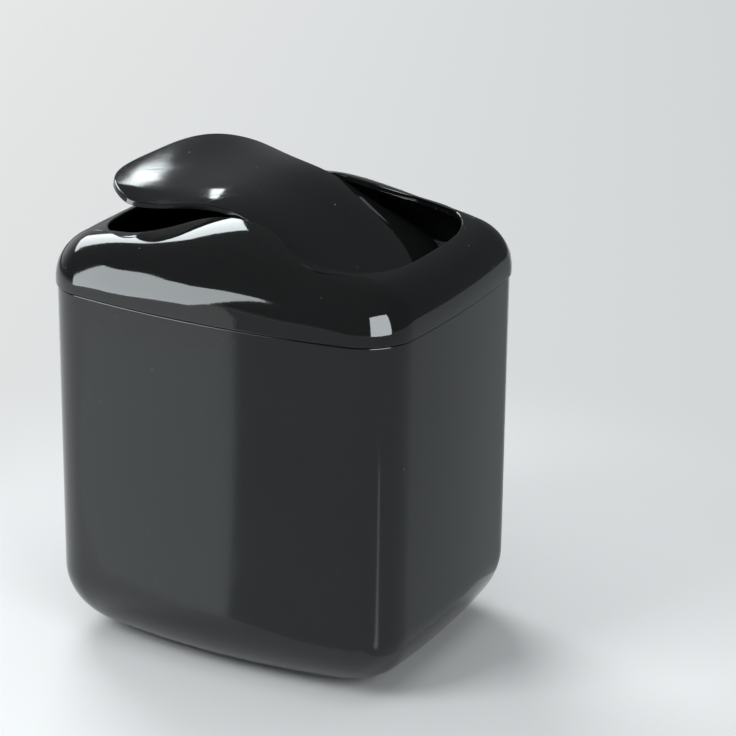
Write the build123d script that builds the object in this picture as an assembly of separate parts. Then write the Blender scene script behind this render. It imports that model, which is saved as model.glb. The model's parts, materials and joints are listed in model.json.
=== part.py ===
from build123d import *
import os
from math import cos, exp, hypot, pi, sin

# A countertop trash can: a bowed, round-cornered can, a lift-off lid with a ridge across it, and a
# flap in the lid's hourglass mouth that tips about an axis under the ridge.
# Millimetres. The origin is on the table under the middle of the can; +X runs along the wide
# faces, +Y to the back, +Z up. The flap is modelled tipped, with its left end up.

# Can
can_width = 150.0  # X, at the middle of the bow
can_depth = 123.6  # Y, at the middle of the bow
can_height = 141.4  # table to the can's rim
wide_face_bow = 8.1  # how far the front and back faces swell out in plan
end_face_bow = 4.1  # the same for the two narrow faces
corner_radius = 20.4  # upright corners
base_radius = 27.0  # rounding between the walls and the base
base_corner_share = 0.45  # corner radius left where the rounding meets the flat base
base_steps = 6  # outlines through which the rounding is lofted
can_wall = 2.2
can_floor = 2.8
rim_round = 0.5

# Foot pads
pad_radius = 6.5
pad_thickness = 0.8  # the pads are stuck to the flat base and hold it off the table
pad_margin = 3.0  # from a pad to the start of the base rounding
pad_round = 0.3

# Lid
seat_gap = 0.3  # between the can's rim and the lid
lid_overhang = 0.7  # how far the lid stands out past the can
lid_wall = 2.2
lid_side = 16.5  # height of the lid's side, before its shoulder is rounded
lid_crown = 5.8  # rise from the side to the middle of the lid, without the ridge
crown_square = 8.0  # how closely the crown keeps the lid's square plan
crown_flat = 4.0  # how late the crown falls away towards the side
shoulder_radius = 15.0
ridge_height = 11.1  # rise of the ridge over the crown
ridge_reach = 34.0  # half the ridge's length along X, to where it has fallen by two thirds
lid_edge_round = 0.5
roof_overrun = 4.0  # how far the roof's sheet runs past the lid before it is trimmed
roof_columns = 29
roof_rows = 25

# Plug that holds the lid in the can
plug_gap = 0.4
plug_wall = 1.8
plug_depth = 9.0
plug_lead = 0.6
ledge_thickness = 2.0

# Mouth
mouth_end_border = 14.8  # lid left beyond each end of the mouth
mouth_lobe_border = 10.7  # lid left beside the two lobes, at the width that they would reach
mouth_waist_border = 28.2  # lid left beside the waist
mouth_swell = 45.0  # distance from the ridge at which a lobe has its full width
mouth_swell_power = 3.1  # how long the waist stays narrow
mouth_square = 3.44  # how square the ends of the mouth are
mouth_edge_round = 0.5
mouth_steps = 12  # points along a quarter of the mouth's outline

# Flap and its hinge
flap_gap = 1.5
flap_wall = 2.0
flap_edge_round = 0.5
flap_tilt = 19.4  # degrees from closed, left end up
pivot_drop = 7.1  # from the top of the ridge to the hinge axis
pin_radius = 1.5
pin_press = 0.02  # gap round the pin in the flap's ear
pin_play = 0.08  # gap round the pin in the lid's boss
pin_head_radius = 2.6
pin_head_thickness = 1.2
pin_end_gap = 1.2  # from the pin's end to the outer end of the boss
pin_chamfer = 0.3
ear_wall = 2.0  # plastic round the pin in the ear
ear_thickness = 4.0
ear_setback = 0.4  # from the flap's edge to the outer face of the ear
boss_wall = 2.4
boss_length = 6.0

# Worked out from the sizes above
half_width = can_width / 2
half_depth = can_depth / 2
base_z = pad_thickness
seat_z = can_height + seat_gap
side_z = seat_z + lid_side
crown_z = side_z + lid_crown
ridge_z = crown_z + ridge_height
pivot_z = ridge_z - pivot_drop
lid_half_width = half_width + lid_overhang
lid_half_depth = half_depth + lid_overhang
mouth_reach = lid_half_width - mouth_end_border
mouth_lobe = lid_half_depth - mouth_lobe_border
mouth_waist = lid_half_depth - mouth_waist_border
shoulder = min(shoulder_radius, lid_side - 1.5)
plug_inset = can_wall + plug_gap
sky_z = ridge_z + 10.0
hinge_axis = Axis((0, 0, pivot_z), (0, 1, 0))


def unit(x, y):
    length = hypot(x, y)
    return x / length, y / length


def plan(inset, radius):
    """Face of the can's bowed outline, drawn in by inset, with corners of the given radius.

    Each corner arc touches the bow of a wide face and the bow of a narrow face, so its centre is
    where the two bows, both drawn in by its radius, cross.
    """
    a = half_width - inset
    b = half_depth - inset
    wide_arc = (a * a + wide_face_bow**2) / (2 * wide_face_bow)
    end_arc = (b * b + end_face_bow**2) / (2 * end_face_bow)
    wide_y = b - wide_arc
    end_x = a - end_arc
    span = hypot(end_x, wide_y)
    along = ((wide_arc - radius) ** 2 - (end_arc - radius) ** 2 + span**2) / (2 * span)
    across = ((wide_arc - radius) ** 2 - along**2) ** 0.5
    ux, uy = end_x / span, -wide_y / span
    centre_x = ux * along + uy * across
    centre_y = wide_y + uy * along - ux * across
    nx, ny = unit(centre_x, centre_y - wide_y)
    mx, my = unit(centre_x - end_x, centre_y)
    kx, ky = unit(nx + mx, ny + my)
    top = (centre_x + radius * nx, centre_y + radius * ny)
    side = (centre_x + radius * mx, centre_y + radius * my)
    knee = (centre_x + radius * kx, centre_y + radius * ky)

    def flip(point, sx, sy):
        return point[0] * sx, point[1] * sy

    edges = []
    for sx, sy in ((1, 1), (1, -1), (-1, -1), (-1, 1)):
        edges.append(ThreePointArc(flip(top, sx, sy), flip(knee, sx, sy), flip(side, sx, sy)))
    for sy in (1, -1):
        edges.append(ThreePointArc(flip(top, -1, sy), (0, sy * b), flip(top, 1, sy)))
    for sx in (1, -1):
        edges.append(ThreePointArc(flip(side, sx, 1), (sx * a, 0), flip(side, sx, -1)))
    return make_face(edges)


def block(inset, bottom, top):
    """Upright block with the can's outline, drawn in by inset."""
    face = plan(inset, corner_radius - inset)
    return Pos(0, 0, bottom) * extrude(face, top - bottom, dir=(0, 0, 1))


def tub(inset, floor_z, top_z):
    """Solid with the can's rounded base and upright walls, drawn in by inset."""
    radius = base_radius - inset
    corner = corner_radius - inset
    outlines = []
    for step in range(base_steps + 1):
        angle = pi / 2 * step / base_steps
        tuck = radius * (1 - sin(angle))
        rise = radius * (1 - cos(angle))
        shrunk = corner * (1 - (1 - base_corner_share) * tuck / radius)
        outlines.append(Pos(0, 0, floor_z + rise) * plan(inset + tuck, shrunk))
    return loft(outlines) + block(inset, floor_z + radius, top_z)


def level_edges(solid, z):
    """Edges of the solid that lie level at height z."""
    return [e for e in solid.edges() if all(abs((e @ t).Z - z) < 0.01 for t in (0, 0.5, 1))]


def roof_height(x, y):
    """Height of the lid's top: a square crown that falls to the side, plus a bell-shaped ridge."""
    out = abs(x / lid_half_width) ** crown_square + abs(y / lid_half_depth) ** crown_square
    fall = out ** (crown_flat / crown_square)
    ridge = ridge_height * exp(-((x / ridge_reach) ** 2)) * (1 - fall)
    return crown_z - lid_crown * fall + ridge


def under_roof(drop):
    """Everything below the lid's top surface, lowered by drop."""
    reach_x = lid_half_width + roof_overrun
    reach_y = lid_half_depth + roof_overrun
    grid = []
    for i in range(roof_columns):
        x = reach_x * (2 * i / (roof_columns - 1) - 1)
        ys = [reach_y * (2 * j / (roof_rows - 1) - 1) for j in range(roof_rows)]
        grid.append([Vector(x, y, roof_height(x, y) - drop) for y in ys])
    sheet = Face.make_surface_from_array_of_points(grid)
    return Solid.extrude(sheet, Vector(0, 0, -seat_z / 2))


def cover(thickness):
    """The lid's outer form, or the hollow that leaves the given thickness all round."""
    body = block(thickness - lid_overhang, seat_z, sky_z) & under_roof(thickness)
    brow = [edge for edge in body.edges() if edge.bounding_box().min.Z > seat_z + 1.0]
    brow = [edge for edge in brow if abs(edge.tangent_at(0.5).Z) < 0.5]
    return fillet(brow, shoulder - thickness)


def mouth_edge(step):
    """Point of a quarter of the mouth's outline, from its end on +X round to its waist on +Y.

    The outline is a squared oval whose width swells away from the ridge.
    """
    angle = pi / 2 * step / mouth_steps
    power = 2 / mouth_square
    x = mouth_reach * cos(angle) ** power
    swell = sin(pi / 2 * min(1.0, x / mouth_swell)) ** mouth_swell_power
    width = mouth_waist + (mouth_lobe - mouth_waist) * swell
    return x, width * sin(angle) ** power


def mouth_column(inset):
    """Upright column with the mouth's outline, drawn in by inset along its normals."""
    points = [(mouth_reach - inset, 0)]
    for step in range(1, mouth_steps):
        x, y = mouth_edge(step)
        before = mouth_edge(step - 1)
        after = mouth_edge(step + 1)
        tx, ty = unit(after[0] - before[0], after[1] - before[1])
        points.append((x - inset * ty, y + inset * tx))
    points.append((0, mouth_waist - inset))
    quarter = Spline(*points, tangents=[(0, 1), (-1, 0)])
    half = [quarter, mirror(quarter, about=Plane.YZ)]
    outline = make_face(half + [mirror(edge, about=Plane.XZ) for edge in half])
    return Pos(0, 0, seat_z + ledge_thickness) * extrude(outline, sky_z - seat_z, dir=(0, 0, 1))


def pin_rod(radius, start, end):
    """Rod along the hinge axis between two distances from the middle, at the front (-Y)."""
    middle = -(start + end) / 2
    return Pos(0, middle, pivot_z) * Rot(90, 0, 0) * Cylinder(radius, end - start)


def lug(radius, start, end, drop):
    """Round lug on the hinge axis with a web up into the shell above it, at the front."""
    web_height = ridge_z - pivot_z
    web = Pos(0, -(start + end) / 2, pivot_z + web_height / 2) * Box(
        2 * radius, end - start, web_height
    )
    return (pin_rod(radius, start, end) + web) & under_roof(drop)


def both_ends(piece):
    """The piece and its mirror image at the back."""
    return [piece, mirror(piece, about=Plane.XZ)]


def make_can():
    can = tub(0, base_z, can_height) - tub(can_wall, base_z + can_floor, can_height + 1.0)
    return fillet(level_edges(can, can_height), rim_round)


def pad_places():
    x = half_width - base_radius - pad_radius - pad_margin
    y = half_depth - base_radius - pad_radius - pad_margin
    return [(-x, -y), (x, -y), (-x, y), (x, y)]


def make_pad(x, y):
    pad = Cylinder(pad_radius, pad_thickness)
    pad = fillet(pad.edges().group_by(Axis.Z)[0], pad_round)
    return Pos(x, y, pad_thickness / 2) * pad


def top_mouth_edges(solid):
    """Edges of the solid where its mouth or its outline cuts the lid's top surface."""
    edges = []
    for edge in solid.edges():
        middle = edge @ 0.5
        on_roof = abs(middle.Z - roof_height(middle.X, middle.Y)) < 0.1
        if on_roof and abs(middle.X) < mouth_reach and abs(middle.Y) < mouth_lobe:
            edges.append(edge)
    return edges


def make_lid():
    column = mouth_column(0)
    shell = cover(0) - cover(lid_wall)
    shell = fillet(level_edges(shell, seat_z), lid_edge_round)
    shell -= column
    shell = fillet(top_mouth_edges(shell), mouth_edge_round)
    ledge = block(lid_wall / 2 - lid_overhang, seat_z, seat_z + ledge_thickness)
    plug = block(plug_inset, seat_z - plug_depth, seat_z + ledge_thickness)
    plug = chamfer(level_edges(plug, seat_z - plug_depth), plug_lead)
    bore = block(plug_inset + plug_wall, seat_z - plug_depth - 1, seat_z + ledge_thickness + 1)
    lid = shell + (ledge + plug - bore)
    boss = lug(pin_radius + boss_wall, mouth_waist - flap_gap / 2, mouth_waist + boss_length, lid_wall / 2)
    for piece in both_ends(boss - column):
        lid += piece
    hole = pin_rod(pin_radius + pin_play, 0, mouth_waist + boss_length + 1)
    for piece in both_ends(hole):
        lid -= piece
    return lid


def ear_span():
    outer = mouth_waist - flap_gap - ear_setback
    return outer - ear_thickness, outer


def make_flap():
    flap = (mouth_column(flap_gap) & under_roof(0)) - under_roof(flap_wall)
    flap = fillet(top_mouth_edges(flap), flap_edge_round)
    start, end = ear_span()
    for piece in both_ends(lug(pin_radius + ear_wall, start, end, flap_wall / 2)):
        flap += piece
    for piece in both_ends(pin_rod(pin_radius + pin_press, start - 1, end + 1)):
        flap -= piece
    return flap.rotate(hinge_axis, flap_tilt)


def make_pin():
    start, _ = ear_span()
    rod = pin_rod(pin_radius, start, mouth_waist + boss_length - pin_end_gap)
    rod = chamfer(rod.edges().group_by(Axis.Y)[0], pin_chamfer)
    return rod + pin_rod(pin_head_radius, start - pin_head_thickness, start)


os.makedirs("parts", exist_ok=True)
nodes = {"can_body": make_can(), "lid_cover": make_lid(), "swing_flap": make_flap()}
nodes["pivot_pin_front"], nodes["pivot_pin_rear"] = both_ends(make_pin())
pad_names = ("front_left", "front_right", "rear_left", "rear_right")
for name, place in zip(pad_names, pad_places()):
    nodes["foot_pad_" + name] = make_pad(*place)
for name, piece in nodes.items():
    export_step(piece, f"parts/{name}.step")
    print(name, round(piece.volume), "mm3, centre", piece.center(CenterOf.MASS))
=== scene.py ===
import json
import math

import bpy
import numpy as np
from bpy.props import FloatProperty, FloatVectorProperty, IntProperty, PointerProperty
from bpy.types import Operator, Panel, PropertyGroup
from mathutils import Matrix, Vector


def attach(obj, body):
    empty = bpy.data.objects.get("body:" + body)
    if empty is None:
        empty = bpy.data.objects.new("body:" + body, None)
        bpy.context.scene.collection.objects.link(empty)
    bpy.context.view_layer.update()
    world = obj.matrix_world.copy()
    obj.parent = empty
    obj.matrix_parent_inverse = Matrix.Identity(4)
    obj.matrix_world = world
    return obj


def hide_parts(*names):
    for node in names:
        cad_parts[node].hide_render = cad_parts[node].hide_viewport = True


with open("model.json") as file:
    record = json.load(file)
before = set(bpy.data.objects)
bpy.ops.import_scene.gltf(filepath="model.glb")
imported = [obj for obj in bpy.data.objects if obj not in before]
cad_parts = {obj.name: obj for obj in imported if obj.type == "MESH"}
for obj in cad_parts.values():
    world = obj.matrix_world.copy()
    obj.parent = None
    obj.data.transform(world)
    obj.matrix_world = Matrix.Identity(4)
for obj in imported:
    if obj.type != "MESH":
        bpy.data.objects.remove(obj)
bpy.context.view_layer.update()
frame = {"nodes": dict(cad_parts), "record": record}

bl_info = {
    "name": "Swing lid trash can",
    "version": (1, 0, 0),
    "blender": (4, 5, 0),
    "location": "3D View > Sidebar > Trash can",
    "description": "Makes a countertop trash can with a swing lid, and a pale studio round it",
    "category": "Add Mesh",
}

finish_of = {entry["slot"]: entry["base_color"] for entry in frame["record"]["materials"]}
quarter = math.pi / 2


def length(name, words, default):
    """A size in metres with a name and a description."""
    return FloatProperty(
        name=name, description=words, default=default, min=0.0, precision=5,
        subtype="DISTANCE", unit="LENGTH",
    )


def number(name, words, default, low=0.0, high=100.0):
    """A plain number with a name and a description."""
    return FloatProperty(name=name, description=words, default=default, min=low, max=high)


def colour(name, words, default):
    """A colour with a name and a description."""
    return FloatVectorProperty(
        name=name, description=words, default=tuple(default), size=3, min=0.0, max=1.0,
        subtype="COLOR",
    )


class CanSizes(PropertyGroup):
    width: length("Width", "Along X, at the middle of the bow", 0.1500)
    depth: length("Depth", "Along Y, at the middle of the bow", 0.1236)
    height: length("Height", "From the table to the rim", 0.1414)
    wide_bow: length("Wide bow", "How far the front and back faces swell out", 0.0081)
    end_bow: length("End bow", "How far the two narrow faces swell out", 0.0041)
    corner: length("Corner", "Radius of the upright corners", 0.0204)
    base_radius: length("Base radius", "Rounding between the walls and the base", 0.0270)
    base_corner: number("Base corner", "Share of the corner radius left at the base", 0.45, 0, 1)
    wall: length("Wall", "Thickness of the wall", 0.0022)
    floor: length("Floor", "Thickness of the floor", 0.0028)
    foot: length("Foot", "Height of the pads under the base", 0.0008)
    rim_round: length("Rim round", "Rounding of the rim's edges", 0.0005)


class LidSizes(PropertyGroup):
    seat_gap: length("Seat gap", "Seam between the can's rim and the lid", 0.0003)
    overhang: length("Overhang", "How far the lid stands out past the can", 0.0007)
    wall: length("Wall", "Thickness of the shell", 0.0022)
    side: length("Side", "Height of the side before the shoulder is rounded", 0.0165)
    crown: length("Crown", "Rise from the side to the middle", 0.0058)
    crown_square: number("Crown square", "How squarely the crown follows the outline", 8.0)
    crown_flat: number("Crown flat", "How late the crown falls away", 4.0)
    shoulder: length("Shoulder", "Largest radius between the side and the roof", 0.0240)
    upright: length("Upright", "Height of the side that stays upright, above the seam", 0.0020)
    end_start: length("End start", "Distance from the middle where the ends begin to droop", 0.0460)
    end_droop: length("End droop", "Droop of the roof at the ends of the mouth", 0.00035)
    ridge: length("Ridge", "Rise of the ridge over the crown", 0.0111)
    ridge_reach: length("Ridge reach", "Half the ridge's run along X", 0.0340)
    edge_round: length("Edge round", "Rounding of the lower edge and of the mouth", 0.0005)
    plug_gap: length("Plug gap", "Play between the plug and the can", 0.0004)
    plug_wall: length("Plug wall", "Thickness of the plug", 0.0018)
    plug_depth: length("Plug depth", "How deep the plug reaches into the can", 0.0090)
    plug_lead: length("Plug lead", "Chamfer that leads the plug in", 0.0006)
    ledge: length("Ledge", "Thickness of the ledge that carries the plug", 0.0020)


class MouthSizes(PropertyGroup):
    end_border: length("End border", "Lid left beyond each end of the mouth", 0.0148)
    lobe_border: length("Lobe border", "Lid left beside the two lobes", 0.0107)
    waist_border: length("Waist border", "Lid left beside the waist", 0.0282)
    swell: length("Swell", "Distance from the ridge to the full width of a lobe", 0.0450)
    swell_power: number("Swell power", "How long the waist stays narrow", 3.1)
    square: number("Square", "How square the ends of the mouth are", 3.44)


class FlapSizes(PropertyGroup):
    gap: length("Gap", "Gap between the flap and the mouth", 0.0015)
    wall: length("Wall", "Thickness of the flap", 0.0020)
    edge_round: length("Edge round", "Rounding of the flap's upper edge", 0.0005)
    tilt: FloatProperty(
        name="Tilt", description="Turn from closed, with the left end up",
        default=math.radians(19.4), subtype="ANGLE", unit="ROTATION",
    )
    pivot_drop: length("Pivot drop", "From the top of the ridge to the hinge axis", 0.0071)
    pin_radius: length("Pin radius", "Radius of the hinge pins", 0.0015)
    pin_play: length("Pin play", "Gap round a pin in the lid's boss", 0.00008)
    ear_radius: length("Ear radius", "Outer radius of the flap's ears", 0.0035)
    ear_width: length("Ear width", "Thickness of the flap's ears", 0.0040)
    ear_setback: length("Ear setback", "From the flap's edge to the ear", 0.0004)
    boss_radius: length("Boss radius", "Outer radius of the lid's bosses", 0.0039)
    boss_width: length("Boss width", "Length of the lid's bosses", 0.0060)


class Finishes(PropertyGroup):
    lid: colour("Lid", "Polished black of the lid and the flap", (0.0060, 0.0068, 0.0068))
    can: colour("Can", "Black of the can", (0.0085, 0.0095, 0.0098))
    steel: colour("Steel", "Hinge pins", finish_of["pin_steel"])
    rubber: colour("Rubber", "Pads under the base", finish_of["pad_rubber"])
    dust: colour("Dust", "Dust on the plastic", (0.55, 0.56, 0.57))
    floor: colour("Floor", "Pale floor", (0.74, 0.765, 0.775))
    backdrop: colour("Backdrop", "What the camera sees past the floor", (0.74, 0.765, 0.775))


class Meshing(PropertyGroup):
    columns: IntProperty(
        name="Columns", description="Columns in a quarter of the lid and of the flap",
        default=110, min=12, max=200,
    )


class TrashCan(PropertyGroup):
    can: PointerProperty(type=CanSizes)
    lid: PointerProperty(type=LidSizes)
    mouth: PointerProperty(type=MouthSizes)
    flap: PointerProperty(type=FlapSizes)
    finishes: PointerProperty(type=Finishes)
    meshing: PointerProperty(type=Meshing)


# ---------------------------------------------------------------- plan curves

def full_turn(x, y):
    """A closed loop from its first quarter, counterclockwise, by mirroring.

    x and y run from the +X axis to the +Y axis along their last dimension. The same call turns a
    quarter's normals into the loop's normals.
    """
    back = slice(None, 0, -1)
    ahead = slice(0, -1)
    xs = [x[..., ahead], -x[..., back], -x[..., ahead], x[..., back]]
    ys = [y[..., ahead], y[..., back], -y[..., ahead], -y[..., back]]
    return np.concatenate(xs, -1), np.concatenate(ys, -1)


def bowed_quarter(half_x, half_y, corner, can, shares):
    """First quarter of the can's bowed outline, and its outward normals.

    A wide bow is an arc of radius (a squared + bow squared) / (2 bow) through the corner's height,
    an end bow likewise. The corner's arc touches both, so its centre lies where the two bows,
    each drawn in by the corner's radius, cross. shares holds how far along the end arc, the
    corner and the wide arc each column lies, 0 to 3. The sizes may be columns of values.
    """
    wide = (half_x**2 + can.wide_bow**2) / (2 * can.wide_bow)
    end = (half_y**2 + can.end_bow**2) / (2 * can.end_bow)
    wide_y = half_y - wide
    end_x = half_x - end
    span = np.hypot(end_x, wide_y)
    along = ((wide - corner) ** 2 - (end - corner) ** 2 + span**2) / (2 * span)
    across = np.sqrt((wide - corner) ** 2 - along**2)
    centre_x = (end_x * along - wide_y * across) / span
    centre_y = wide_y + (-wide_y * along - end_x * across) / span
    turn_end = np.arctan2(centre_y, centre_x - end_x)
    turn_wide = np.arctan2(centre_y - wide_y, centre_x)
    first, second, third = (np.clip(shares - k, 0, 1) for k in range(3))
    turn = turn_end * first + (turn_wide - turn_end) * second + (quarter - turn_wide) * third
    on_end = shares < 1
    on_wide = shares > 2
    x0 = np.where(on_end, end_x, np.where(on_wide, 0 * end_x, centre_x))
    y0 = np.where(on_end, 0 * wide_y, np.where(on_wide, wide_y, centre_y))
    radius = np.where(on_end, end, np.where(on_wide, wide, corner))
    nx, ny = np.cos(turn), np.sin(turn)
    return x0 + radius * nx, y0 + radius * ny, nx, ny


def mouth_quarter(inset, turns, sizes):
    """First quarter of the mouth's outline, drawn in by inset, and its outward normals.

    A squared oval, x = reach cos^p and y = width sin^p with p = 2 / square, whose width swells
    from the waist to the lobe with a power of the sine of the distance from the ridge.
    """
    can, lid, mouth = sizes.can, sizes.lid, sizes.mouth
    reach = can.width / 2 + lid.overhang - mouth.end_border
    lobe = can.depth / 2 + lid.overhang - mouth.lobe_border
    waist = can.depth / 2 + lid.overhang - mouth.waist_border
    power = 2 / mouth.square
    x = reach * np.clip(np.cos(turns), 0, 1) ** power
    swell = np.sin(quarter * np.minimum(1, x / mouth.swell)) ** mouth.swell_power
    y = (waist + (lobe - waist) * swell) * np.sin(turns) ** power
    tx, ty = np.gradient(x), np.gradient(y)
    tx[0], ty[0], tx[-1], ty[-1] = 0, 1, -1, 0
    size = np.hypot(tx, ty)
    nx, ny = ty / size, -tx / size
    return x - inset * nx, y - inset * ny, nx, ny


def dense_outline(inset, sizes):
    """Closely spaced quarter of the can's outline, drawn in by inset."""
    can = sizes.can
    shares = np.linspace(0, 3, 6001)
    return bowed_quarter(
        can.width / 2 - inset, can.depth / 2 - inset, can.corner - inset, can, shares
    )


def dense_mouth(inset, sizes):
    """Closely spaced quarter of the mouth's outline, with its points even at both ends."""
    steps = np.linspace(0, 1, 6001)
    return mouth_quarter(inset, quarter * steps * steps * (3 - 2 * steps), sizes)


def at_angles(curve, angles):
    """Points and normals of a quarter curve where rays from the middle at these angles cut it."""
    polar = np.arctan2(curve[1], curve[0])
    x, y, nx, ny = (np.interp(angles, polar, part) for part in curve)
    loop_x, loop_y = full_turn(x, y)
    loop_nx, loop_ny = full_turn(nx, ny)
    return loop_x, loop_y, loop_nx, loop_ny


def even_angles(curves, count):
    """Polar angles of a quarter at which the steps along all the curves, added up, are even."""
    fine = np.linspace(0, quarter, 4001)
    run = 0 * fine
    for curve in curves:
        steps = np.hypot(np.diff(curve[0]), np.diff(curve[1]))
        travel = np.concatenate([[0], np.cumsum(steps)])
        run += np.interp(fine, np.arctan2(curve[1], curve[0]), travel / travel[-1])
    angles = np.interp(np.linspace(0, run[-1], count + 1), run, fine)
    angles[0], angles[-1] = 0, quarter
    return angles


# ---------------------------------------------------------------- the lid's roof

def roof(x, y, sizes):
    """Height and upward normal of the lid's top at x, y.

    fall = ((|x|/a)^k + (|y|/b)^k)^(m/k), which is 0 in the middle and 1 at the side. The height is
    the crown less crown rise times fall, plus a bell curve of x times (1 - fall) for the ridge,
    less a slight droop that grows with the square of the distance past its start.
    The normal comes from the height a hair to each side.
    """
    can, lid = sizes.can, sizes.lid
    a, b = can.width / 2 + lid.overhang, can.depth / 2 + lid.overhang
    top = can.height + lid.seat_gap + lid.side + lid.crown
    end = a - sizes.mouth.end_border

    def height(x, y):
        out = np.abs(x / a) ** lid.crown_square + np.abs(y / b) ** lid.crown_square
        fall = out ** (lid.crown_flat / lid.crown_square)
        bell = lid.ridge * np.exp(-((x / lid.ridge_reach) ** 2)) * (1 - fall)
        past = np.clip(np.abs(x) - lid.end_start, 0, None) / (end - lid.end_start)
        return top - lid.crown * fall + bell - lid.end_droop * past**2

    hair = 2e-5
    slope_x = (height(x + hair, y) - height(x - hair, y)) / (2 * hair)
    slope_y = (height(x, y + hair) - height(x, y - hair)) / (2 * hair)
    size = np.sqrt(slope_x**2 + slope_y**2 + 1)
    return height(x, y), np.stack([-slope_x / size, -slope_y / size, 1 / size], -1)


def rolled_edge(loop, radius, drop, steps, sizes, side=1):
    """Rows of points of a ball rolled between an upright wall and the roof lowered by drop.

    The ball's centre lies radius inside the wall. Its height is found by letting it touch the
    roof: the touching point is the centre plus radius times the roof's normal there, repeated
    until it rests. The rows go round the ball from the wall's normal to the roof's normal.
    """
    x, y, nx, ny = loop
    radius = np.broadcast_to(radius, x.shape)[:, None]
    wall = np.stack([nx * side, ny * side, 0 * nx], -1)
    centre = np.stack([x, y], -1) - radius * wall[:, :2]
    touch = centre
    for _ in range(60):
        height, normal = roof(touch[:, 0], touch[:, 1], sizes)
        touch = centre + radius * normal[:, :2]
    height, normal = roof(touch[:, 0], touch[:, 1], sizes)
    centre = np.column_stack([centre, height - drop - radius[:, 0] * normal[:, 2]])
    bend = np.arccos(np.clip((wall * normal).sum(-1), -1, 1))[None, :, None]
    share = np.linspace(0, 1, steps + 1)[:, None, None]
    turned = (np.sin((1 - share) * bend) * wall + np.sin(share * bend) * normal) / np.sin(bend)
    return centre + radius * turned


def shoulder_radii(loop, opening, start, sizes):
    """Radius of the shoulder at each column, larger where the mouth leaves more room.

    Halving finds the largest radius whose rolling ball leaves the side above the start height
    and touches the roof farther from the middle than the mouth's edge on the column's ray. The
    smallest radius among near columns is then averaged under a bell curve, so that the radius
    changes smoothly round the lid. The ball touches the roof off the column's ray, so beside
    the four lobes this test lets the shoulder run up to 3 mm past the mouth's edge, where the
    surface folds back.
    """
    lowest_share, halvings, near_share, bell_share = 0.3, 24, 1 / 30, 0.03
    low = np.full(loop[0].shape, lowest_share * sizes.lid.shoulder)
    high = np.full(loop[0].shape, sizes.lid.shoulder)
    mouth_reach = np.hypot(opening[0], opening[1]) + sizes.lid.edge_round
    for _ in range(halvings):
        middle = (low + high) / 2
        edge = rolled_edge(loop, middle, 0.0, 1, sizes)
        fits = (edge[0, :, 2] > start) & (np.hypot(edge[1, :, 0], edge[1, :, 1]) > mouth_reach)
        low, high = np.where(fits, middle, low), np.where(fits, high, middle)
    count = len(low)
    near = int(near_share * count)
    least = np.min([np.roll(low, k) for k in range(-near, near + 1)], axis=0)
    steps = np.arange(count)
    bell = np.exp(-((np.minimum(steps, count - steps) / (bell_share * count)) ** 2))
    return np.fft.irfft(np.fft.rfft(least) * np.fft.rfft(bell / bell.sum()), count)


def shares_between(start, stop, count, hold):
    """Even shares from 0 to 1, with one more a hold's length from each end, for every column."""
    reach = np.linalg.norm(stop - start, axis=-1)
    hold = np.minimum(hold / np.maximum(reach, 1e-9), 0.3)
    even = np.linspace(0, 1, count + 1)[:, None]
    inner = hold + (1 - 2 * hold) * even
    return np.concatenate([0 * reach[None], inner, 0 * reach[None] + 1])[..., None]


def strip(start, stop, count=1, hold=0.00012):
    """Straight rows from one row of points to another, held close to both so edges stay crisp."""
    share = shares_between(start, stop, count, hold)
    return start + (stop - start) * share


def roof_strip(start, stop, count, drop, sizes, hold=0.00015):
    """Rows that follow the roof, lowered by drop, from one row of points to another."""
    share = shares_between(start, stop, count, hold)
    rows = start + (stop - start) * share
    rows[..., 2] = roof(rows[..., 0], rows[..., 1], sizes)[0] - drop
    return rows


def level(loop, z):
    """A loop of plan points at height z."""
    return np.column_stack([loop[0], loop[1], np.full(loop[0].shape, z)])


def chain(*runs):
    """Runs of rows joined end to end, each starting where the one before stops."""
    return np.concatenate([run[:-1] for run in runs[:-1]] + [runs[-1]])


# ---------------------------------------------------------------- meshes

def woven_mesh(name, rows, material, ring=False, first_pole=None, last_pole=None):
    """Mesh from rows of points whose columns close up, with a point of its own for each pole.

    Each quad joins a column and the next in a row to those in the row after. The signed volume,
    the sum of the faces' corner products over six, tells whether the faces point inwards, and
    then they are turned round.
    """
    count, across = rows.shape[:2]
    grid = np.arange(count * across).reshape(count, across)
    below = grid if ring else grid[:-1]
    above = np.roll(grid, -1, 0) if ring else grid[1:]
    quads = np.stack([below, np.roll(below, -1, 1), np.roll(above, -1, 1), above], -1)
    quads = quads.reshape(-1, 4)
    points = rows.reshape(-1, 3)
    fans = np.empty((0, 3), int)
    for pole, start, stop in (
        (first_pole, np.roll(grid[0], -1), grid[0]),
        (last_pole, grid[-1], np.roll(grid[-1], -1)),
    ):
        if pole is not None:
            fans = np.vstack([fans, np.column_stack([start, stop, np.full(across, len(points))])])
            points = np.vstack([points, pole])
    corners = np.vstack([quads[:, [0, 1, 2]], quads[:, [0, 2, 3]], fans])
    p, q, r = (points[corners[:, k]] for k in range(3))
    if (p * np.cross(q, r)).sum() < 0:
        quads, fans = quads[:, ::-1], fans[:, ::-1]
    mesh = bpy.data.meshes.new(name)
    mesh.from_pydata(points.tolist(), [], quads.tolist() + fans.tolist())
    mesh.polygons.foreach_set("use_smooth", np.ones(len(mesh.polygons), bool))
    mesh.validate()
    mesh.update()
    mesh.materials.append(material)
    return mesh


def placed(name, data):
    """An object with this data, in the scene."""
    made = bpy.data.objects.new(name, data)
    bpy.context.scene.collection.objects.link(made)
    return made


def woven_piece(name, rows, finish, body, slot, replaced, **closing):
    """Piece woven from rows, on its body and in place of a CAD node."""
    piece = placed(name, woven_mesh(name, rows, bpy.data.materials[finish], **closing))
    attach(piece, body)
    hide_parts(replaced)


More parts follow.
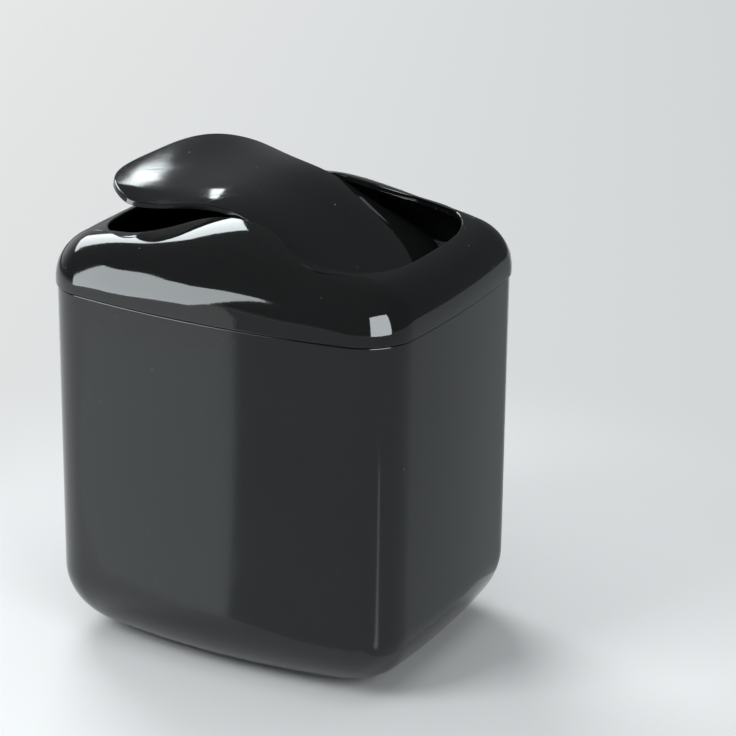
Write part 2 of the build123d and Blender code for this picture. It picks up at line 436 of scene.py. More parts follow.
def tipped(points, sizes):
    """Points turned about the hinge axis by the flap's tilt: the left end goes up."""
    flap = sizes.flap
    turn = flap.tilt
    pivot = pivot_height(sizes)
    x, up = points[..., 0], points[..., 2] - pivot
    turned_x = x * math.cos(turn) + up * math.sin(turn)
    turned_z = up * math.cos(turn) - x * math.sin(turn) + pivot
    return np.stack([turned_x, points[..., 1], turned_z], -1)


def pivot_height(sizes):
    """Height of the hinge axis."""
    can, lid = sizes.can, sizes.lid
    ridge = can.height + lid.seat_gap + lid.side + lid.crown + lid.ridge
    return ridge - sizes.flap.pivot_drop


def waist_reach(sizes):
    """Distance from the middle to the mouth's edge at its waist."""
    return sizes.can.depth / 2 + sizes.lid.overhang - sizes.mouth.waist_border


def lug_rows(inner, outer, start, end, drop, sizes, columns=72):
    """Ring of points for a round lug with a bore on the hinge axis, from start to end along Y.

    Below the axis its outline is a circle of the outer radius. Above, it is the square corner of
    a web as wide as the lug, cut off level a drop below the roof, so that it ends in the shell.
    """
    pivot = pivot_height(sizes)
    turn = np.linspace(0, 2 * math.pi, columns, endpoint=False)
    cos, sin = np.cos(turn), np.sin(turn)

    def outline(y):
        top = roof(np.zeros(1), np.full(1, y), sizes)[0][0] - drop - pivot
        web = np.minimum(
            outer / np.maximum(np.abs(cos), 1e-6), top / np.maximum(sin, 1e-6)
        )
        reach = np.where(sin > 0, np.maximum(web, inner + 0.0003), outer)
        return np.column_stack([reach * cos, np.full(columns, y), pivot + reach * sin])

    def bore(y):
        return np.column_stack([inner * cos, np.full(columns, y), pivot + inner * sin])

    return chain(
        strip(bore(start), outline(start)),
        strip(outline(start), outline(end), 3),
        strip(outline(end), bore(end)),
        strip(bore(end), bore(start)),
    )[:-1]


# ---------------------------------------------------------------- material groups

def shader_group(name, inputs, outputs):
    """New shader node group with float inputs and outputs."""
    group = bpy.data.node_groups.new(name, "ShaderNodeTree")
    for title, default in inputs:
        socket = group.interface.new_socket(title, in_out="INPUT", socket_type="NodeSocketFloat")
        socket.default_value = default
    for title in outputs:
        group.interface.new_socket(title, in_out="OUTPUT", socket_type="NodeSocketFloat")
    entry = group.nodes.new("NodeGroupInput")
    leave = group.nodes.new("NodeGroupOutput")
    place = group.nodes.new("ShaderNodeTexCoord")
    return group, entry, leave, place.outputs["Object"]


def node(tree, kind, links=(), **values):
    """A node with its properties set and its inputs linked or given."""
    made = tree.nodes.new(kind)
    for key, value in values.items():
        setattr(made, key, value)
    for socket, source in links:
        if hasattr(source, "is_output"):
            tree.links.new(source, made.inputs[socket])
        else:
            made.inputs[socket].default_value = source
    return made


def sums(tree, operation, first, second=0.0, third=0.0, clamp=False):
    """Output of a Math node."""
    made = node(tree, "ShaderNodeMath", [(0, first), (1, second), (2, third)], operation=operation)
    made.use_clamp = clamp
    return made.outputs[0]


def noise(tree, place, scale, detail):
    """Noise texture node."""
    return node(
        tree, "ShaderNodeTexNoise", [("Vector", place), ("Scale", scale), ("Detail", detail)]
    )


def climb(tree, value, low, high, **kind):
    """Output that goes from 0 to 1 as the value goes from low to high."""
    made = node(
        tree, "ShaderNodeMapRange", [("Value", value), ("From Min", low), ("From Max", high)],
        **kind,
    )
    return made.outputs["Result"]


def dust_group():
    """Specks of dust: dots in the cells of a Voronoi texture, in a share of the cells."""
    tree, entry, leave, place = shader_group(
        "dust_specks", [("Scale", 350.0), ("Share", 0.2), ("Size", 0.07)], ["Mask"]
    )
    cells = node(
        tree, "ShaderNodeTexVoronoi", [("Vector", place), ("Scale", entry.outputs["Scale"])]
    )
    lots = node(tree, "ShaderNodeSeparateColor", [("Color", cells.outputs["Color"])])
    chosen = sums(tree, "LESS_THAN", lots.outputs[0], entry.outputs["Share"])
    size = sums(tree, "MULTIPLY", sums(tree, "ADD", lots.outputs[1], 0.35), entry.outputs["Size"])
    ratio = sums(tree, "DIVIDE", cells.outputs["Distance"], size)
    dot = sums(tree, "SUBTRACT", 1.35, ratio, clamp=True)
    weight = sums(tree, "ADD", sums(tree, "MULTIPLY", lots.outputs[2], 0.8), 0.2)
    mask = sums(tree, "MULTIPLY", sums(tree, "MULTIPLY", dot, chosen), weight, clamp=True)
    tree.links.new(mask, leave.inputs["Mask"])
    return tree


def scuff_group():
    """Hairline scuffs: thin cell borders of a stretched, bent Voronoi texture, kept in patches."""
    tree, entry, leave, place = shader_group(
        "hairline_scuffs", [("Scale", 60.0), ("Width", 0.01), ("Turn", 0.5)], ["Mask"]
    )
    bend = noise(tree, place, 22.0, 1.0)
    shift = node(
        tree, "ShaderNodeVectorMath", [(0, bend.outputs["Color"]), (1, (0.012,) * 3)],
        operation="MULTIPLY",
    )
    moved = node(tree, "ShaderNodeVectorMath", [(0, place), (1, shift.outputs[0])])
    turned = node(
        tree, "ShaderNodeVectorRotate",
        [("Vector", moved.outputs[0]), ("Axis", (0.3, 0.2, 1.0)), ("Angle", entry.outputs["Turn"])],
    )
    long = node(
        tree, "ShaderNodeMapping", [("Vector", turned.outputs[0]), ("Scale", (1.0, 0.07, 0.6))]
    )
    cells = node(
        tree, "ShaderNodeTexVoronoi",
        [("Vector", long.outputs[0]), ("Scale", entry.outputs["Scale"])],
        feature="DISTANCE_TO_EDGE",
    )
    ratio = sums(tree, "DIVIDE", cells.outputs["Distance"], entry.outputs["Width"])
    line = sums(tree, "SUBTRACT", 1.0, ratio, clamp=True)
    kept = climb(tree, noise(tree, place, 38.0, 2.0).outputs["Fac"], 0.52, 0.66)
    mask = sums(tree, "MULTIPLY", line, kept, clamp=True)
    tree.links.new(mask, leave.inputs["Mask"])
    return tree


def haze_group():
    """Soft haze of handling: two sizes of noise, from 0 on clean plastic to 1 where it is dull."""
    tree, entry, leave, place = shader_group(
        "handling_haze", [("Scale", 14.0), ("Low", 0.45), ("High", 0.75)], ["Mask"]
    )
    broad = noise(tree, place, entry.outputs["Scale"], 3.0).outputs["Fac"]
    close = noise(tree, place, 260.0, 2.0).outputs["Fac"]
    close_part = sums(tree, "MULTIPLY", close, 0.2)
    both = sums(tree, "ADD", sums(tree, "MULTIPLY", broad, 0.8), close_part)
    mask = climb(tree, both, entry.outputs["Low"], entry.outputs["High"])
    tree.links.new(mask, leave.inputs["Mask"])
    return tree


def skin_group():
    """Height of a moulded skin: long, shallow waves with a finer grain on them."""
    tree, entry, leave, place = shader_group(
        "moulded_skin", [("Wave", 55.0), ("Grain", 900.0), ("Grain share", 0.15)], ["Height"]
    )
    wave = noise(tree, place, entry.outputs["Wave"], 1.0).outputs["Fac"]
    grain = noise(tree, place, entry.outputs["Grain"], 2.0).outputs["Fac"]
    fine = sums(tree, "MULTIPLY", grain, entry.outputs["Grain share"])
    tree.links.new(sums(tree, "ADD", wave, fine), leave.inputs["Height"])
    return tree


def group_node(tree, name, **values):
    """A shared group placed in a material with its own values."""
    made = tree.nodes.new("ShaderNodeGroup")
    made.node_tree = bpy.data.node_groups[name]
    for title, value in values.items():
        made.inputs[title.replace("_", " ")].default_value = value
    return made


def fresh_material(name, base, roughness):
    """A material with its shader, and the tree to add to."""
    material = bpy.data.materials.new(name)
    material.use_nodes = True
    material.diffuse_color = (*base, 1.0)
    shader = material.node_tree.nodes["Principled BSDF"]
    shader.inputs["Base Color"].default_value = (*base, 1.0)
    shader.inputs["Roughness"].default_value = roughness
    return material, material.node_tree, shader


def blended(tree, factor, first, second):
    """Colour between two colours by a factor."""
    mix = node(tree, "ShaderNodeMix", data_type="RGBA")
    tree.links.new(factor, mix.inputs["Factor"])
    for socket, value in ((6, first), (7, second)):
        if hasattr(value, "is_output"):
            tree.links.new(value, mix.inputs[socket])
        else:
            mix.inputs[socket].default_value = (*value, 1.0)
    return mix.outputs[2]


def relieve(tree, shader, height, strength, depth):
    """Gives the shader a bump of a depth in metres from a height between 0 and 1."""
    relief = node(
        tree, "ShaderNodeBump", [("Strength", strength), ("Distance", depth), ("Height", height)]
    )
    tree.links.new(relief.outputs[0], shader.inputs["Normal"])


def plastic(name, base, dust, gloss, haze, haze_dulls, specks, speck_share, speck_size, speck_cover,
            wave, depth):
    """Moulded black plastic: dust in its colour, haze and scuffs in its gloss, a shallow skin.

    haze, specks and wave are scales in cells a metre, gloss the roughness of clean plastic and
    depth that of the skin's waves. Lint is sparser, coarser dust laid over the specks.
    """
    film_share, scuff_dulls, dust_dulls, refraction = 0.006, 0.10, 0.45, 1.52
    material, tree, shader = fresh_material(name, base, gloss)
    speck = group_node(tree, "dust_specks", Scale=specks, Share=speck_share, Size=speck_size)
    lint = group_node(
        tree, "dust_specks", Scale=0.37 * specks, Share=0.6 * speck_share, Size=0.5 * speck_size
    )
    dull = group_node(tree, "handling_haze", Scale=haze, Low=0.42, High=0.78)
    scuff = group_node(tree, "hairline_scuffs", Scale=70.0, Width=0.012, Turn=0.6)
    cross = group_node(tree, "hairline_scuffs", Scale=55.0, Width=0.009, Turn=2.1)
    skin = group_node(tree, "moulded_skin", Wave=wave, Grain=1100.0, Grain_share=0.08)
    dots = sums(tree, "MAXIMUM", speck.outputs[0], lint.outputs[0])
    film = sums(tree, "MULTIPLY", dull.outputs[0], film_share)
    cover = sums(tree, "ADD", sums(tree, "MULTIPLY", dots, speck_cover), film, clamp=True)
    tree.links.new(blended(tree, cover, base, dust), shader.inputs["Base Color"])
    lines = sums(tree, "MAXIMUM", scuff.outputs[0], cross.outputs[0])
    rough = sums(tree, "MULTIPLY_ADD", dull.outputs[0], haze_dulls, gloss)
    rough = sums(tree, "MULTIPLY_ADD", lines, scuff_dulls, rough)
    rough = sums(tree, "MULTIPLY_ADD", dots, dust_dulls, rough, clamp=True)
    tree.links.new(rough, shader.inputs["Roughness"])
    relieve(tree, shader, skin.outputs[0], 1.0, depth)
    shader.inputs["IOR"].default_value = refraction
    return material


def steel(name, base):
    """Turned steel: fine rings round Y in its colour, gloss and relief."""
    material, tree, shader = fresh_material(name, base, 0.3)
    shader.inputs["Metallic"].default_value = 1.0
    place = node(tree, "ShaderNodeTexCoord").outputs["Object"]
    squeezed = node(tree, "ShaderNodeMapping", [("Vector", place), ("Scale", (0.2, 9.0, 0.2))])
    rings = noise(tree, squeezed.outputs[0], 600.0, 3.0).outputs["Fac"]
    dull = group_node(tree, "handling_haze", Scale=220.0, Low=0.35, High=0.8)
    dark = tuple(0.6 * part for part in base)
    tree.links.new(blended(tree, rings, dark, base), shader.inputs["Base Color"])
    rough = sums(tree, "MULTIPLY_ADD", rings, 0.2, 0.18)
    rough = sums(tree, "MULTIPLY_ADD", dull.outputs[0], 0.15, rough)
    tree.links.new(rough, shader.inputs["Roughness"])
    relieve(tree, shader, rings, 0.6, 0.00003)
    return material


def rubber(name, base, dust):
    """Matte rubber: a mottled colour, a fine grain and dust."""
    material, tree, shader = fresh_material(name, base, 0.75)
    speck = group_node(tree, "dust_specks", Scale=700.0, Share=0.5, Size=0.1)
    dull = group_node(tree, "handling_haze", Scale=120.0, Low=0.35, High=0.75)
    skin = group_node(tree, "moulded_skin", Wave=500.0, Grain=2500.0, Grain_share=0.8)
    worn = blended(tree, dull.outputs[0], base, tuple(1.8 * part for part in base))
    flecks = sums(tree, "MULTIPLY", speck.outputs[0], 0.25)
    tree.links.new(blended(tree, flecks, worn, dust), shader.inputs["Base Color"])
    rough = sums(tree, "MULTIPLY_ADD", dull.outputs[0], 0.15, 0.68)
    tree.links.new(rough, shader.inputs["Roughness"])
    relieve(tree, shader, skin.outputs[0], 0.8, 0.00006)
    return material


def paint_node(name, material):
    """Gives a CAD node a material in place of its own."""
    slots = frame["nodes"][name].data.materials
    slots.clear()
    slots.append(material)


# ---------------------------------------------------------------- operators

class TRASHCAN_OT_finishes(Operator):
    """Make the plastics, the steel and the rubber"""

    bl_idname = "trashcan.make_finishes"
    bl_label = "Finishes"

    def execute(self, context):
        looks = context.scene.trash_can.finishes
        dust_group()
        scuff_group()
        haze_group()
        skin_group()
        dust = tuple(looks.dust)
        plastic(
            "polished_black", tuple(looks.lid), dust, gloss=0.045, haze=11.0, haze_dulls=0.05,
            specks=420.0, speck_share=0.10, speck_size=0.085, speck_cover=0.75,
            wave=34.0, depth=0.00006,
        )
        plastic(
            "moulded_black", tuple(looks.can), dust, gloss=0.10, haze=9.0, haze_dulls=0.06,
            specks=330.0, speck_share=0.035, speck_size=0.06, speck_cover=0.5,
            wave=26.0, depth=0.00010,
        )
        steel("turned_steel", tuple(looks.steel))
        rubber("foot_rubber", tuple(looks.rubber), dust)
        return {"FINISHED"}


class TRASHCAN_OT_can(Operator):
    """Make the can: a bowed, round-cornered tub with a rounded base"""

    bl_idname = "trashcan.make_can"
    bl_label = "Can"

    def execute(self, context):
        """Rows of the bowed outline, each with its inset, height and corner, from the middle of
        the base out, up the wall, over the rim and down the inside to the middle of the floor.
        In the base rounding the outline is drawn in by R (1 - sin) and stands R (1 - cos) up.
        """
        can = context.scene.trash_can.can

        def rounding(inset, floor):
            radius = can.base_radius - inset
            turn = np.linspace(0, quarter, 25)
            tuck = radius * (1 - np.sin(turn))
            shrink = 1 - (1 - can.base_corner) * tuck / radius
            height = floor + radius * (1 - np.cos(turn))
            return np.column_stack([inset + tuck, height, (can.corner - inset) * shrink])

        def straight(inset, low, high, count, hold=0.00012):
            between = np.linspace(low, high, count + 1)[1:-1]
            height = np.concatenate([[low + hold], between, [high - hold]])
            return np.column_stack([inset + 0 * height, height, can.corner - inset + 0 * height])

        r = can.rim_round
        turn = np.linspace(0, quarter, 7)
        outer_edge = np.column_stack([r * (1 - np.cos(turn)), can.height - r * (1 - np.sin(turn))])
        inner_edge = np.column_stack([can.wall - outer_edge[::-1, 0], outer_edge[::-1, 1]])
        hold = 0.0001
        flat = [[r + hold, can.height], [can.wall - r - hold, can.height]]
        rim = np.vstack([outer_edge, flat, inner_edge])
        rim = np.column_stack([rim, can.corner - rim[:, 0]])
        outside = rounding(0.0, can.foot)
        inside = rounding(can.wall, can.foot + can.floor)
        profile = np.vstack([
            outside,
            straight(0.0, outside[-1, 1], can.height - r, 12),
            rim,
            straight(can.wall, inside[-1, 1], can.height - r, 8)[::-1],
            inside[::-1],
        ])
        shares = np.concatenate([
            np.linspace(0, 1, 25)[:-1], np.linspace(1, 2, 29)[:-1], np.linspace(2, 3, 33),
        ])
        inset, height, corner = (profile[:, k:k + 1] for k in range(3))
        x, y, _, _ = bowed_quarter(
            can.width / 2 - inset, can.depth / 2 - inset, corner, can, shares
        )
        x, y = full_turn(x, y)
        rows = np.stack([x, y, height + 0 * x], -1)
        spread = np.linspace(0, 1, 9)[1:-1, None, None]
        base_middle = np.array([0, 0, can.foot])
        floor_middle = np.array([0, 0, can.foot + can.floor])
        under = base_middle + (rows[0] - base_middle) * spread
        within = floor_middle + (rows[-1] - floor_middle) * spread[::-1]
        woven_piece(
            "can_shell", np.concatenate([under, rows, within]), "moulded_black", "can",
            "can_plastic", "can_body", first_pole=base_middle, last_pole=floor_middle,
        )
        return {"FINISHED"}


class TRASHCAN_OT_pads(Operator):
    """Give the four pads under the can their rubber"""

    bl_idname = "trashcan.finish_pads"
    bl_label = "Foot pads"

    def execute(self, context):
        for place in ("front_left", "front_right", "rear_left", "rear_right"):
            paint_node("foot_pad_" + place, bpy.data.materials["foot_rubber"])
        return {"FINISHED"}


class TRASHCAN_OT_lid(Operator):
    """Make the lid: a shell with a ridge and a mouth, and the plug that drops into the can"""

    bl_idname = "trashcan.make_lid"
    bl_label = "Lid"

    def execute(self, context):
        """A closed profile carried round the lid on rays from its middle: the lower edge, the
        side, the shoulder rolled to the roof, the roof in to the mouth, its edge and wall, the
        underside back out, the inner shoulder and wall, the ledge and the plug.
        """
        sizes = context.scene.trash_can
        can, lid = sizes.can, sizes.lid
        outline = dense_outline(-lid.overhang, sizes)
        mouth = dense_mouth(0.0, sizes)
        angles = even_angles([outline, mouth], sizes.meshing.columns)
        seat = can.height + lid.seat_gap
        r = lid.edge_round

        def ring(inset):
            return at_angles(dense_outline(inset, sizes), angles)

        outer = at_angles(outline, angles)
        inner = ring(lid.wall - lid.overhang)
        opening = at_angles(mouth, angles)
        radii = shoulder_radii(outer, opening, seat + lid.upright, sizes)
        shoulder = rolled_edge(outer, radii, 0.0, 26, sizes)
        lip = rolled_edge(opening, r, 0.0, 6, sizes, side=-1)[::-1]
        hollow = rolled_edge(inner, radii - lid.wall, lid.wall, 12, sizes)
        turn = np.linspace(0, quarter, 7)[:, None, None]
        normal = np.column_stack([outer[2], outer[3], 0 * outer[2]])
        edge_centre = level(outer, seat + r) - r * normal
        edge = edge_centre + r * (np.sin(turn) * normal - np.cos(turn) * np.array([0, 0, 1.0]))
        plug_outer = ring(can.wall + lid.plug_gap)
        plug_lead = ring(can.wall + lid.plug_gap + lid.plug_lead)
        plug_inner = ring(can.wall + lid.plug_gap + lid.plug_wall)
        low = seat - lid.plug_depth
        mouth_low = level(opening, 0.0)
        mouth_low[:, 2] = roof(opening[0], opening[1], sizes)[0] - lid.wall
        ledge_outer = level(inner, seat + lid.ledge)
        rows = chain(
            strip(level(plug_outer, seat), edge[0]),
            edge,
            strip(edge[-1], shoulder[0], 3),
            shoulder,
            roof_strip(shoulder[-1], lip[0], 26, 0.0, sizes),
            lip,
            strip(lip[-1], mouth_low),
            roof_strip(mouth_low, hollow[-1], 14, lid.wall, sizes),
            hollow[::-1],
            strip(hollow[0], ledge_outer, 2),
            strip(ledge_outer, level(plug_inner, seat + lid.ledge)),
            strip(level(plug_inner, seat + lid.ledge), level(plug_inner, low), 2),
            strip(level(plug_inner, low), level(plug_lead, low)),
            strip(level(plug_lead, low), level(plug_outer, low + lid.plug_lead)),
            strip(level(plug_outer, low + lid.plug_lead), level(plug_outer, seat), 2),
        )[:-1]
        belongs = ("polished_black", "lid", "lid_plastic", "lid_cover")
        woven_piece("lid_shell", rows, *belongs, ring=True)
        flap = sizes.flap
        start = waist_reach(sizes)
        for name, sign in (("front", -1), ("rear", 1)):
            lug = lug_rows(
                flap.pin_radius + flap.pin_play, flap.boss_radius, sign * start,
                sign * (start + flap.boss_width), lid.wall / 2, sizes,
            )
            woven_piece("pivot_boss_" + name, lug, *belongs, ring=True)
        return {"FINISHED"}


class TRASHCAN_OT_flap(Operator):
    """Make the swing flap and its ears, and give the hinge pins their steel"""

    bl_idname = "trashcan.make_flap"
    bl_label = "Swing flap"

    def execute(self, context):
        """The roof cut to the mouth's outline drawn in by the gap: rows from the middle of the
        top out to the rolled edge, down the wall and back in along the underside, then all
        turned about the hinge axis.
        """
        sizes = context.scene.trash_can
        flap = sizes.flap
        outline = dense_mouth(flap.gap, sizes)
        angles = even_angles([outline], sizes.meshing.columns)
        loop = at_angles(outline, angles)
        lip = rolled_edge(loop, flap.edge_round, 0.0, 6, sizes)[::-1]
        low = level(loop, 0.0)
        low[:, 2] = roof(loop[0], loop[1], sizes)[0] - flap.wall
        top_z = float(roof(np.zeros(1), np.zeros(1), sizes)[0][0])
        top = np.array([0, 0, top_z])
        bottom = np.array([0, 0, top_z - flap.wall])
        top_row, bottom_row = (np.broadcast_to(middle, low.shape) for middle in (top, bottom))
        hold = 0.0002
        upper = roof_strip(top_row, lip[0], 52, 0.0, sizes, hold)
        lower = roof_strip(low, bottom_row, 30, flap.wall, sizes, hold)
        rows = chain(upper, lip, strip(lip[-1], low), lower)[1:-1]
        belongs = ("polished_black", "flap", "lid_plastic", "swing_flap")
        woven_piece(
            "flap_shell", tipped(rows, sizes), *belongs,
            first_pole=tipped(top, sizes), last_pole=tipped(bottom, sizes),
        )
        end = waist_reach(sizes) - flap.gap - flap.ear_setback
        for name, sign in (("front", -1), ("rear", 1)):
            lug = lug_rows(
                flap.pin_radius, flap.ear_radius, sign * (end - flap.ear_width), sign * end,
                flap.wall / 2, sizes,
            )
            woven_piece("flap_ear_" + name, tipped(lug, sizes), *belongs, ring=True)
            paint_node("pivot_pin_" + name, bpy.data.materials["turned_steel"])
        return {"FINISHED"}


LID_MIDDLE = (0, 0, 0.15)


def towards(turn, rise):
    """Direction from the front turned to the right, and then up, both in radians."""
    return np.stack([np.sin(turn) * np.cos(rise), -np.cos(turn) * np.cos(rise), np.sin(rise)], -1)


def window_card(far, edges):
    """Pairs of corners a distance from the lid, from a side and two rises in degrees."""
    side, low, high = np.radians(np.array(edges, float)).T
    rise = np.stack([low, high], -1)
    corners = np.array(LID_MIDDLE) + far * towards(side[:, None] + 0 * rise, rise)
    return corners.reshape(-1, 3).tolist()


def upright_card(edges):
    """Pairs of corners one over the other, from x, y and two heights."""
    return [(x, y, height) for x, y, *heights in edges for height in heights]


def level_card(height, edges):
    """Pairs of corners at one height, from the x and y of both."""
    return [(x, y, height) for edge in edges for x, y in (edge[:2], edge[2:])]


# name, degrees to the right of the front, degrees up, distance, width, height, glow
LAMPS = (
    ("rear_left_lamp", -132, 42, 1.50, 0.70, 0.70, 8.5),
    ("right_lamp", 60, 20, 1.40, 0.80, 0.80, 4.0),
    ("front_left_lamp", -30, 35, 1.10, 0.50, 0.50, 9.0),
    ("top_lamp", 0, 90, 1.40, 1.60, 1.60, 1.15),
)

# name, glow, corners
CARDS = (
    ("rear_left_box", 9.5, window_card(1.50, [
        (-144, 31, 52), (-130, 28, 52), (-112, 27, 46), (-95, 28, 37), (-86, 28, 32),
    ])),
    ("rear_slot", 8.0, window_card(1.50, [(-150.8, 24.6, 33), (-149.5, 24.6, 33)])),
    ("right_box", 10.0, window_card(1.30, [(41, -6, 33), (80, -6, 33)])),
    ("front_left_box", 7.5, upright_card([
        (-0.359, -0.271, 0.075, 0.354), (-0.313, -0.324, 0.047, 0.320),
        (-0.271, -0.359, 0.053, 0.270), (-0.218, -0.394, 0.035, 0.250),
        (-0.183, -0.411, 0.090, 0.265), (-0.132, -0.430, 0.204, 0.299),
        (-0.094, -0.440, 0.295, 0.325),
    ])),
    ("front_left_sheet", 1.2, level_card(0.001, [
        (-0.016, -0.112, -0.100, -0.105), (-0.064, -0.219, -0.190, -0.150),
        (-0.116, -0.326, -0.260, -0.215), (-0.149, -0.393, -0.330, -0.290),
    ])),
    ("right_shade", 0.42, level_card(0.001, [
        (-0.016, -0.112, -0.420, -0.965), (0.030, -0.085, 0.100, -1.200),
        (0.075, -0.075, 0.900, -0.900), (0.085, -0.020, 2.500, -0.200),
        (0.085, 0.060, 3.000, 1.300), (0.060, 0.078, 2.400, 2.800),
        (0.020, 0.085, 0.600, 3.500),
    ])),
    ("corner_strip", 1.7, level_card(0.002, [
        (0.088, -0.060, 0.093, -0.070), (0.262, -0.149, 0.271, -0.165),
    ])),
)


class TRASHCAN_OT_stage(Operator):
    """Lay the pale floor, hang the soft lights and set the camera"""

    bl_idname = "trashcan.make_stage"
    bl_label = "Stage"

    def execute(self, context):
        looks = context.scene.trash_can.finishes
        self.floor(tuple(looks.floor))
        self.world(context, tuple(looks.backdrop))
        for lamp in LAMPS:
            self.softbox(*lamp)
        for card in CARDS:
            self.card(*card)
        self.camera(context)
        context.scene.view_settings.view_transform = "Standard"
        return {"FINISHED"}

    def floor(self, base):
        """Wide flat floor of rings about the object."""
        turn = np.linspace(0, 2 * math.pi, 96, endpoint=False)
        reach = np.array([9.0, 5.0, 2.5, 1.2, 0.6, 0.3, 0.15])[:, None]
        x, y = reach * np.cos(turn), reach * np.sin(turn)
        rows = np.stack([x, y, 0 * x], -1)
        dull = self.floor_material(base)
        placed("floor", woven_mesh("floor", rows, dull, last_pole=np.zeros(3)))

    def floor_material(self, base):
        """Dull and pale near the object, where its shadow falls. Farther off the camera sees a
        plain pale glow in its place, with painted light that makes it a little brighter to the
        left and painted shade that makes it darker to the right.
        """
        shadow_near, shadow_far = 0.12, 0.30
        # painted light and shade: the far floor's glow runs from lighter on the left to darker on
        # the right, as the lamps fall across it
        slant_x, slant_y, slant_reach = 0.85, 0.35, 0.35
        painted_light_left, painted_shade_right = (0.80, 0.81, 0.81), (0.60, 0.63, 0.64)
        material, tree, shader = fresh_material("pale_floor", base, 0.6)
        place = node(tree, "ShaderNodeTexCoord").outputs["Object"]
        grain = noise(tree, place, 3.0, 4.0).outputs["Fac"]
        light = tuple(min(1.0, 1.01 * part) for part in base)
        dark = tuple(0.99 * part for part in base)
        tree.links.new(blended(tree, grain, dark, light), shader.inputs["Base Color"])
        shader.inputs["Specular IOR Level"].default_value = 0.0
        gap = node(tree, "ShaderNodeVectorMath", [(0, place)], operation="LENGTH").outputs["Value"]
        far = climb(tree, gap, shadow_near, shadow_far, interpolation_type="SMOOTHSTEP")
        side = node(tree, "ShaderNodeSeparateXYZ", [("Vector", place)])
        along_y = sums(tree, "MULTIPLY", side.outputs[1], slant_y)
        across = sums(tree, "MULTIPLY_ADD", side.outputs[0], slant_x, along_y)
        painted_light_share = climb(tree, across, -slant_reach, slant_reach)
        shine = node(
            tree, "ShaderNodeEmission", [("Color", blended(tree, painted_light_share, painted_light_left, painted_shade_right))]
        )
        path = node(tree, "ShaderNodeLightPath")
        share = sums(tree, "MULTIPLY", far, path.outputs["Is Camera Ray"])
        mix = node(
            tree, "ShaderNodeMixShader", [(0, share), (1, shader.outputs[0]), (2, shine.outputs[0])]
        )
        tree.links.new(mix.outputs[0], tree.nodes["Material Output"].inputs["Surface"])
        return material

    def world(self, context, pale):
        """Dim sky that is paler low down behind the left, and a pale one that only the camera
        sees. The pale side is a high power of the cosine of the angle from its middle.
        """
        dim, light = (0.115, 0.12, 0.125), (0.95, 0.97, 0.98)
        pale_side, sharpness = (-0.88, 0.46, 0.07), 12.0
        world = bpy.data.worlds.new("studio")
        world.use_nodes = True
        tree = world.node_tree
        sky = tree.nodes["Background"]
        facing = node(tree, "ShaderNodeTexCoord").outputs["Generated"]
        near = node(
            tree, "ShaderNodeVectorMath", [(0, facing), (1, pale_side)], operation="DOT_PRODUCT"
        )
        ahead = sums(tree, "MAXIMUM", near.outputs["Value"], 0.0)
        lobe = sums(tree, "POWER", ahead, sharpness)
        tree.links.new(blended(tree, lobe, dim, light), sky.inputs["Color"])
        seen = node(tree, "ShaderNodeBackground", [("Color", (*pale, 1.0))])
        path = node(tree, "ShaderNodeLightPath")
        mix = node(tree, "ShaderNodeMixShader", [
            (0, path.outputs["Is Camera Ray"]), (1, sky.outputs[0]), (2, seen.outputs[0]),
        ])
        tree.links.new(mix.outputs[0], tree.nodes["World Output"].inputs["Surface"])
        context.scene.world = world

    def softbox(self, name, side, rise, far, width, height, glow):
        """Area light that faces the lid from a direction in degrees. Gloss shows the cards in its
        place.
        """
        aim = Vector(towards(math.radians(side), math.radians(rise)))
        lamp = bpy.data.lights.new(name, "AREA")
        lamp.shape = "RECTANGLE"
        lamp.size, lamp.size_y = width, height
        lamp.energy = glow * math.pi * width * height
        box = placed(name, lamp)
        box.location = Vector(LID_MIDDLE) + far * aim
        box.rotation_euler = aim.to_track_quat("Z", "Y").to_euler()
        box.visible_glossy = False

    def card(self, name, glow, corners):
        """Glowing card that shows only as a reflection in gloss. It throws no light and no
        shadow on the floor. Its corners run in pairs along its two long edges.
        """
        tint = (0.93, 1.0, 1.02, 1.0)
        mesh = bpy.data.meshes.new(name)
        starts = np.arange(0, len(corners) - 2, 2)[:, None]
        mesh.from_pydata(corners, [], (starts + [0, 2, 3, 1]).tolist())
        material = bpy.data.materials.new(name)
        material.use_nodes = True
        tree = material.node_tree
        tree.nodes.clear()
        shine = node(tree, "ShaderNodeEmission", [("Color", tint), ("Strength", glow)])
        node(tree, "ShaderNodeOutputMaterial", [("Surface", shine.outputs[0])])
        mesh.materials.append(material)
        card = placed(name, mesh)
        card.visible_camera = card.visible_diffuse = card.visible_shadow = False

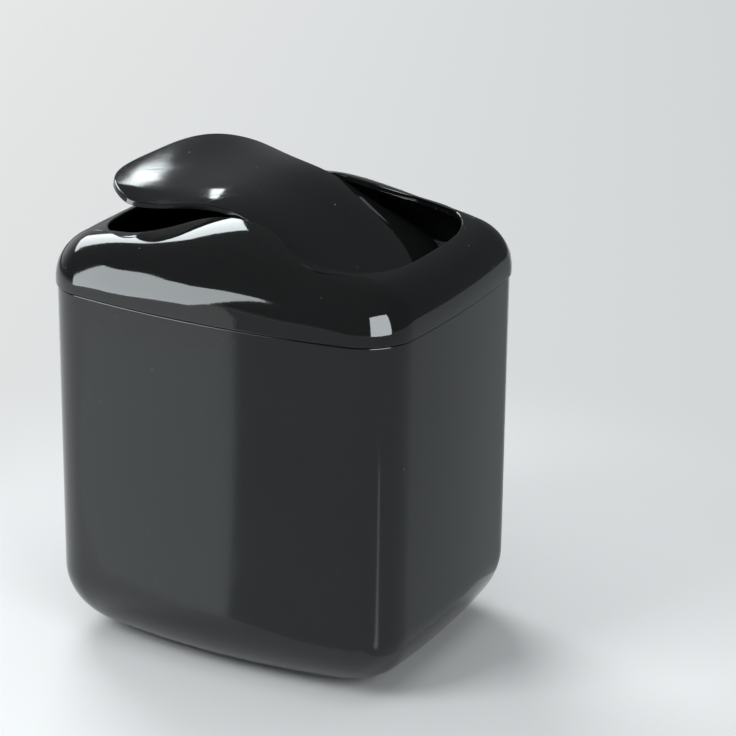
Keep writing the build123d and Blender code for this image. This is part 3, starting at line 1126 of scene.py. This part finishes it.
    def camera(self, context):
        """Long lens from the front left, a little above, rolled by under a degree."""
        turn, rise, roll = (math.radians(angle) for angle in (27.613, 20.569, 0.715))
        to_right, to_top, to_back = 0.032569, 0.097952, 1.05241
        back = Vector(towards(turn, rise))
        level_right = Vector((math.cos(turn), math.sin(turn), 0))
        level_up = back.cross(level_right)
        right = math.cos(roll) * level_right + math.sin(roll) * level_up
        up = -math.sin(roll) * level_right + math.cos(roll) * level_up
        place = to_right * right + to_top * up + to_back * back
        lens = bpy.data.cameras.new("camera")
        lens.sensor_width = 36.0
        lens.lens = 130.54
        lens.clip_end = 50.0
        eye = placed("camera", lens)
        turned = Matrix((right, up, back)).transposed().to_4x4()
        eye.matrix_world = Matrix.Translation(place) @ turned
        context.scene.camera = eye


class VIEW3D_PT_trash_can(Panel):
    """Sizes and finishes of the trash can"""

    bl_label = "Trash can"
    bl_space_type = "VIEW_3D"
    bl_region_type = "UI"
    bl_category = "Trash can"

    def draw(self, context):
        settings = context.scene.trash_can
        for title, group in (
            ("Can", settings.can), ("Lid", settings.lid), ("Mouth", settings.mouth),
            ("Flap", settings.flap), ("Finishes", settings.finishes), ("Meshing", settings.meshing),
        ):
            box = self.layout.box()
            box.label(text=title)
            for key in group.bl_rna.properties.keys():
                if key not in ("rna_type", "name"):
                    box.prop(group, key)
        for step in steps:
            self.layout.operator(step.bl_idname)


groups = (CanSizes, LidSizes, MouthSizes, FlapSizes, Finishes, Meshing, TrashCan)
steps = (
    TRASHCAN_OT_finishes, TRASHCAN_OT_can, TRASHCAN_OT_pads, TRASHCAN_OT_lid,
    TRASHCAN_OT_flap, TRASHCAN_OT_stage,
)


def register():
    for kind in (*groups, *steps, VIEW3D_PT_trash_can):
        bpy.utils.register_class(kind)
    bpy.types.Scene.trash_can = PointerProperty(type=TrashCan)


def unregister():
    del bpy.types.Scene.trash_can
    for kind in reversed((*groups, *steps, VIEW3D_PT_trash_can)):
        bpy.utils.unregister_class(kind)


def main():
    """Makes everything in order."""
    register()
    bpy.ops.trashcan.make_finishes()
    bpy.ops.trashcan.make_can()
    bpy.ops.trashcan.finish_pads()
    bpy.ops.trashcan.make_lid()
    bpy.ops.trashcan.make_flap()
    bpy.ops.trashcan.make_stage()
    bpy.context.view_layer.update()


if __name__ == "__main__":
    main()
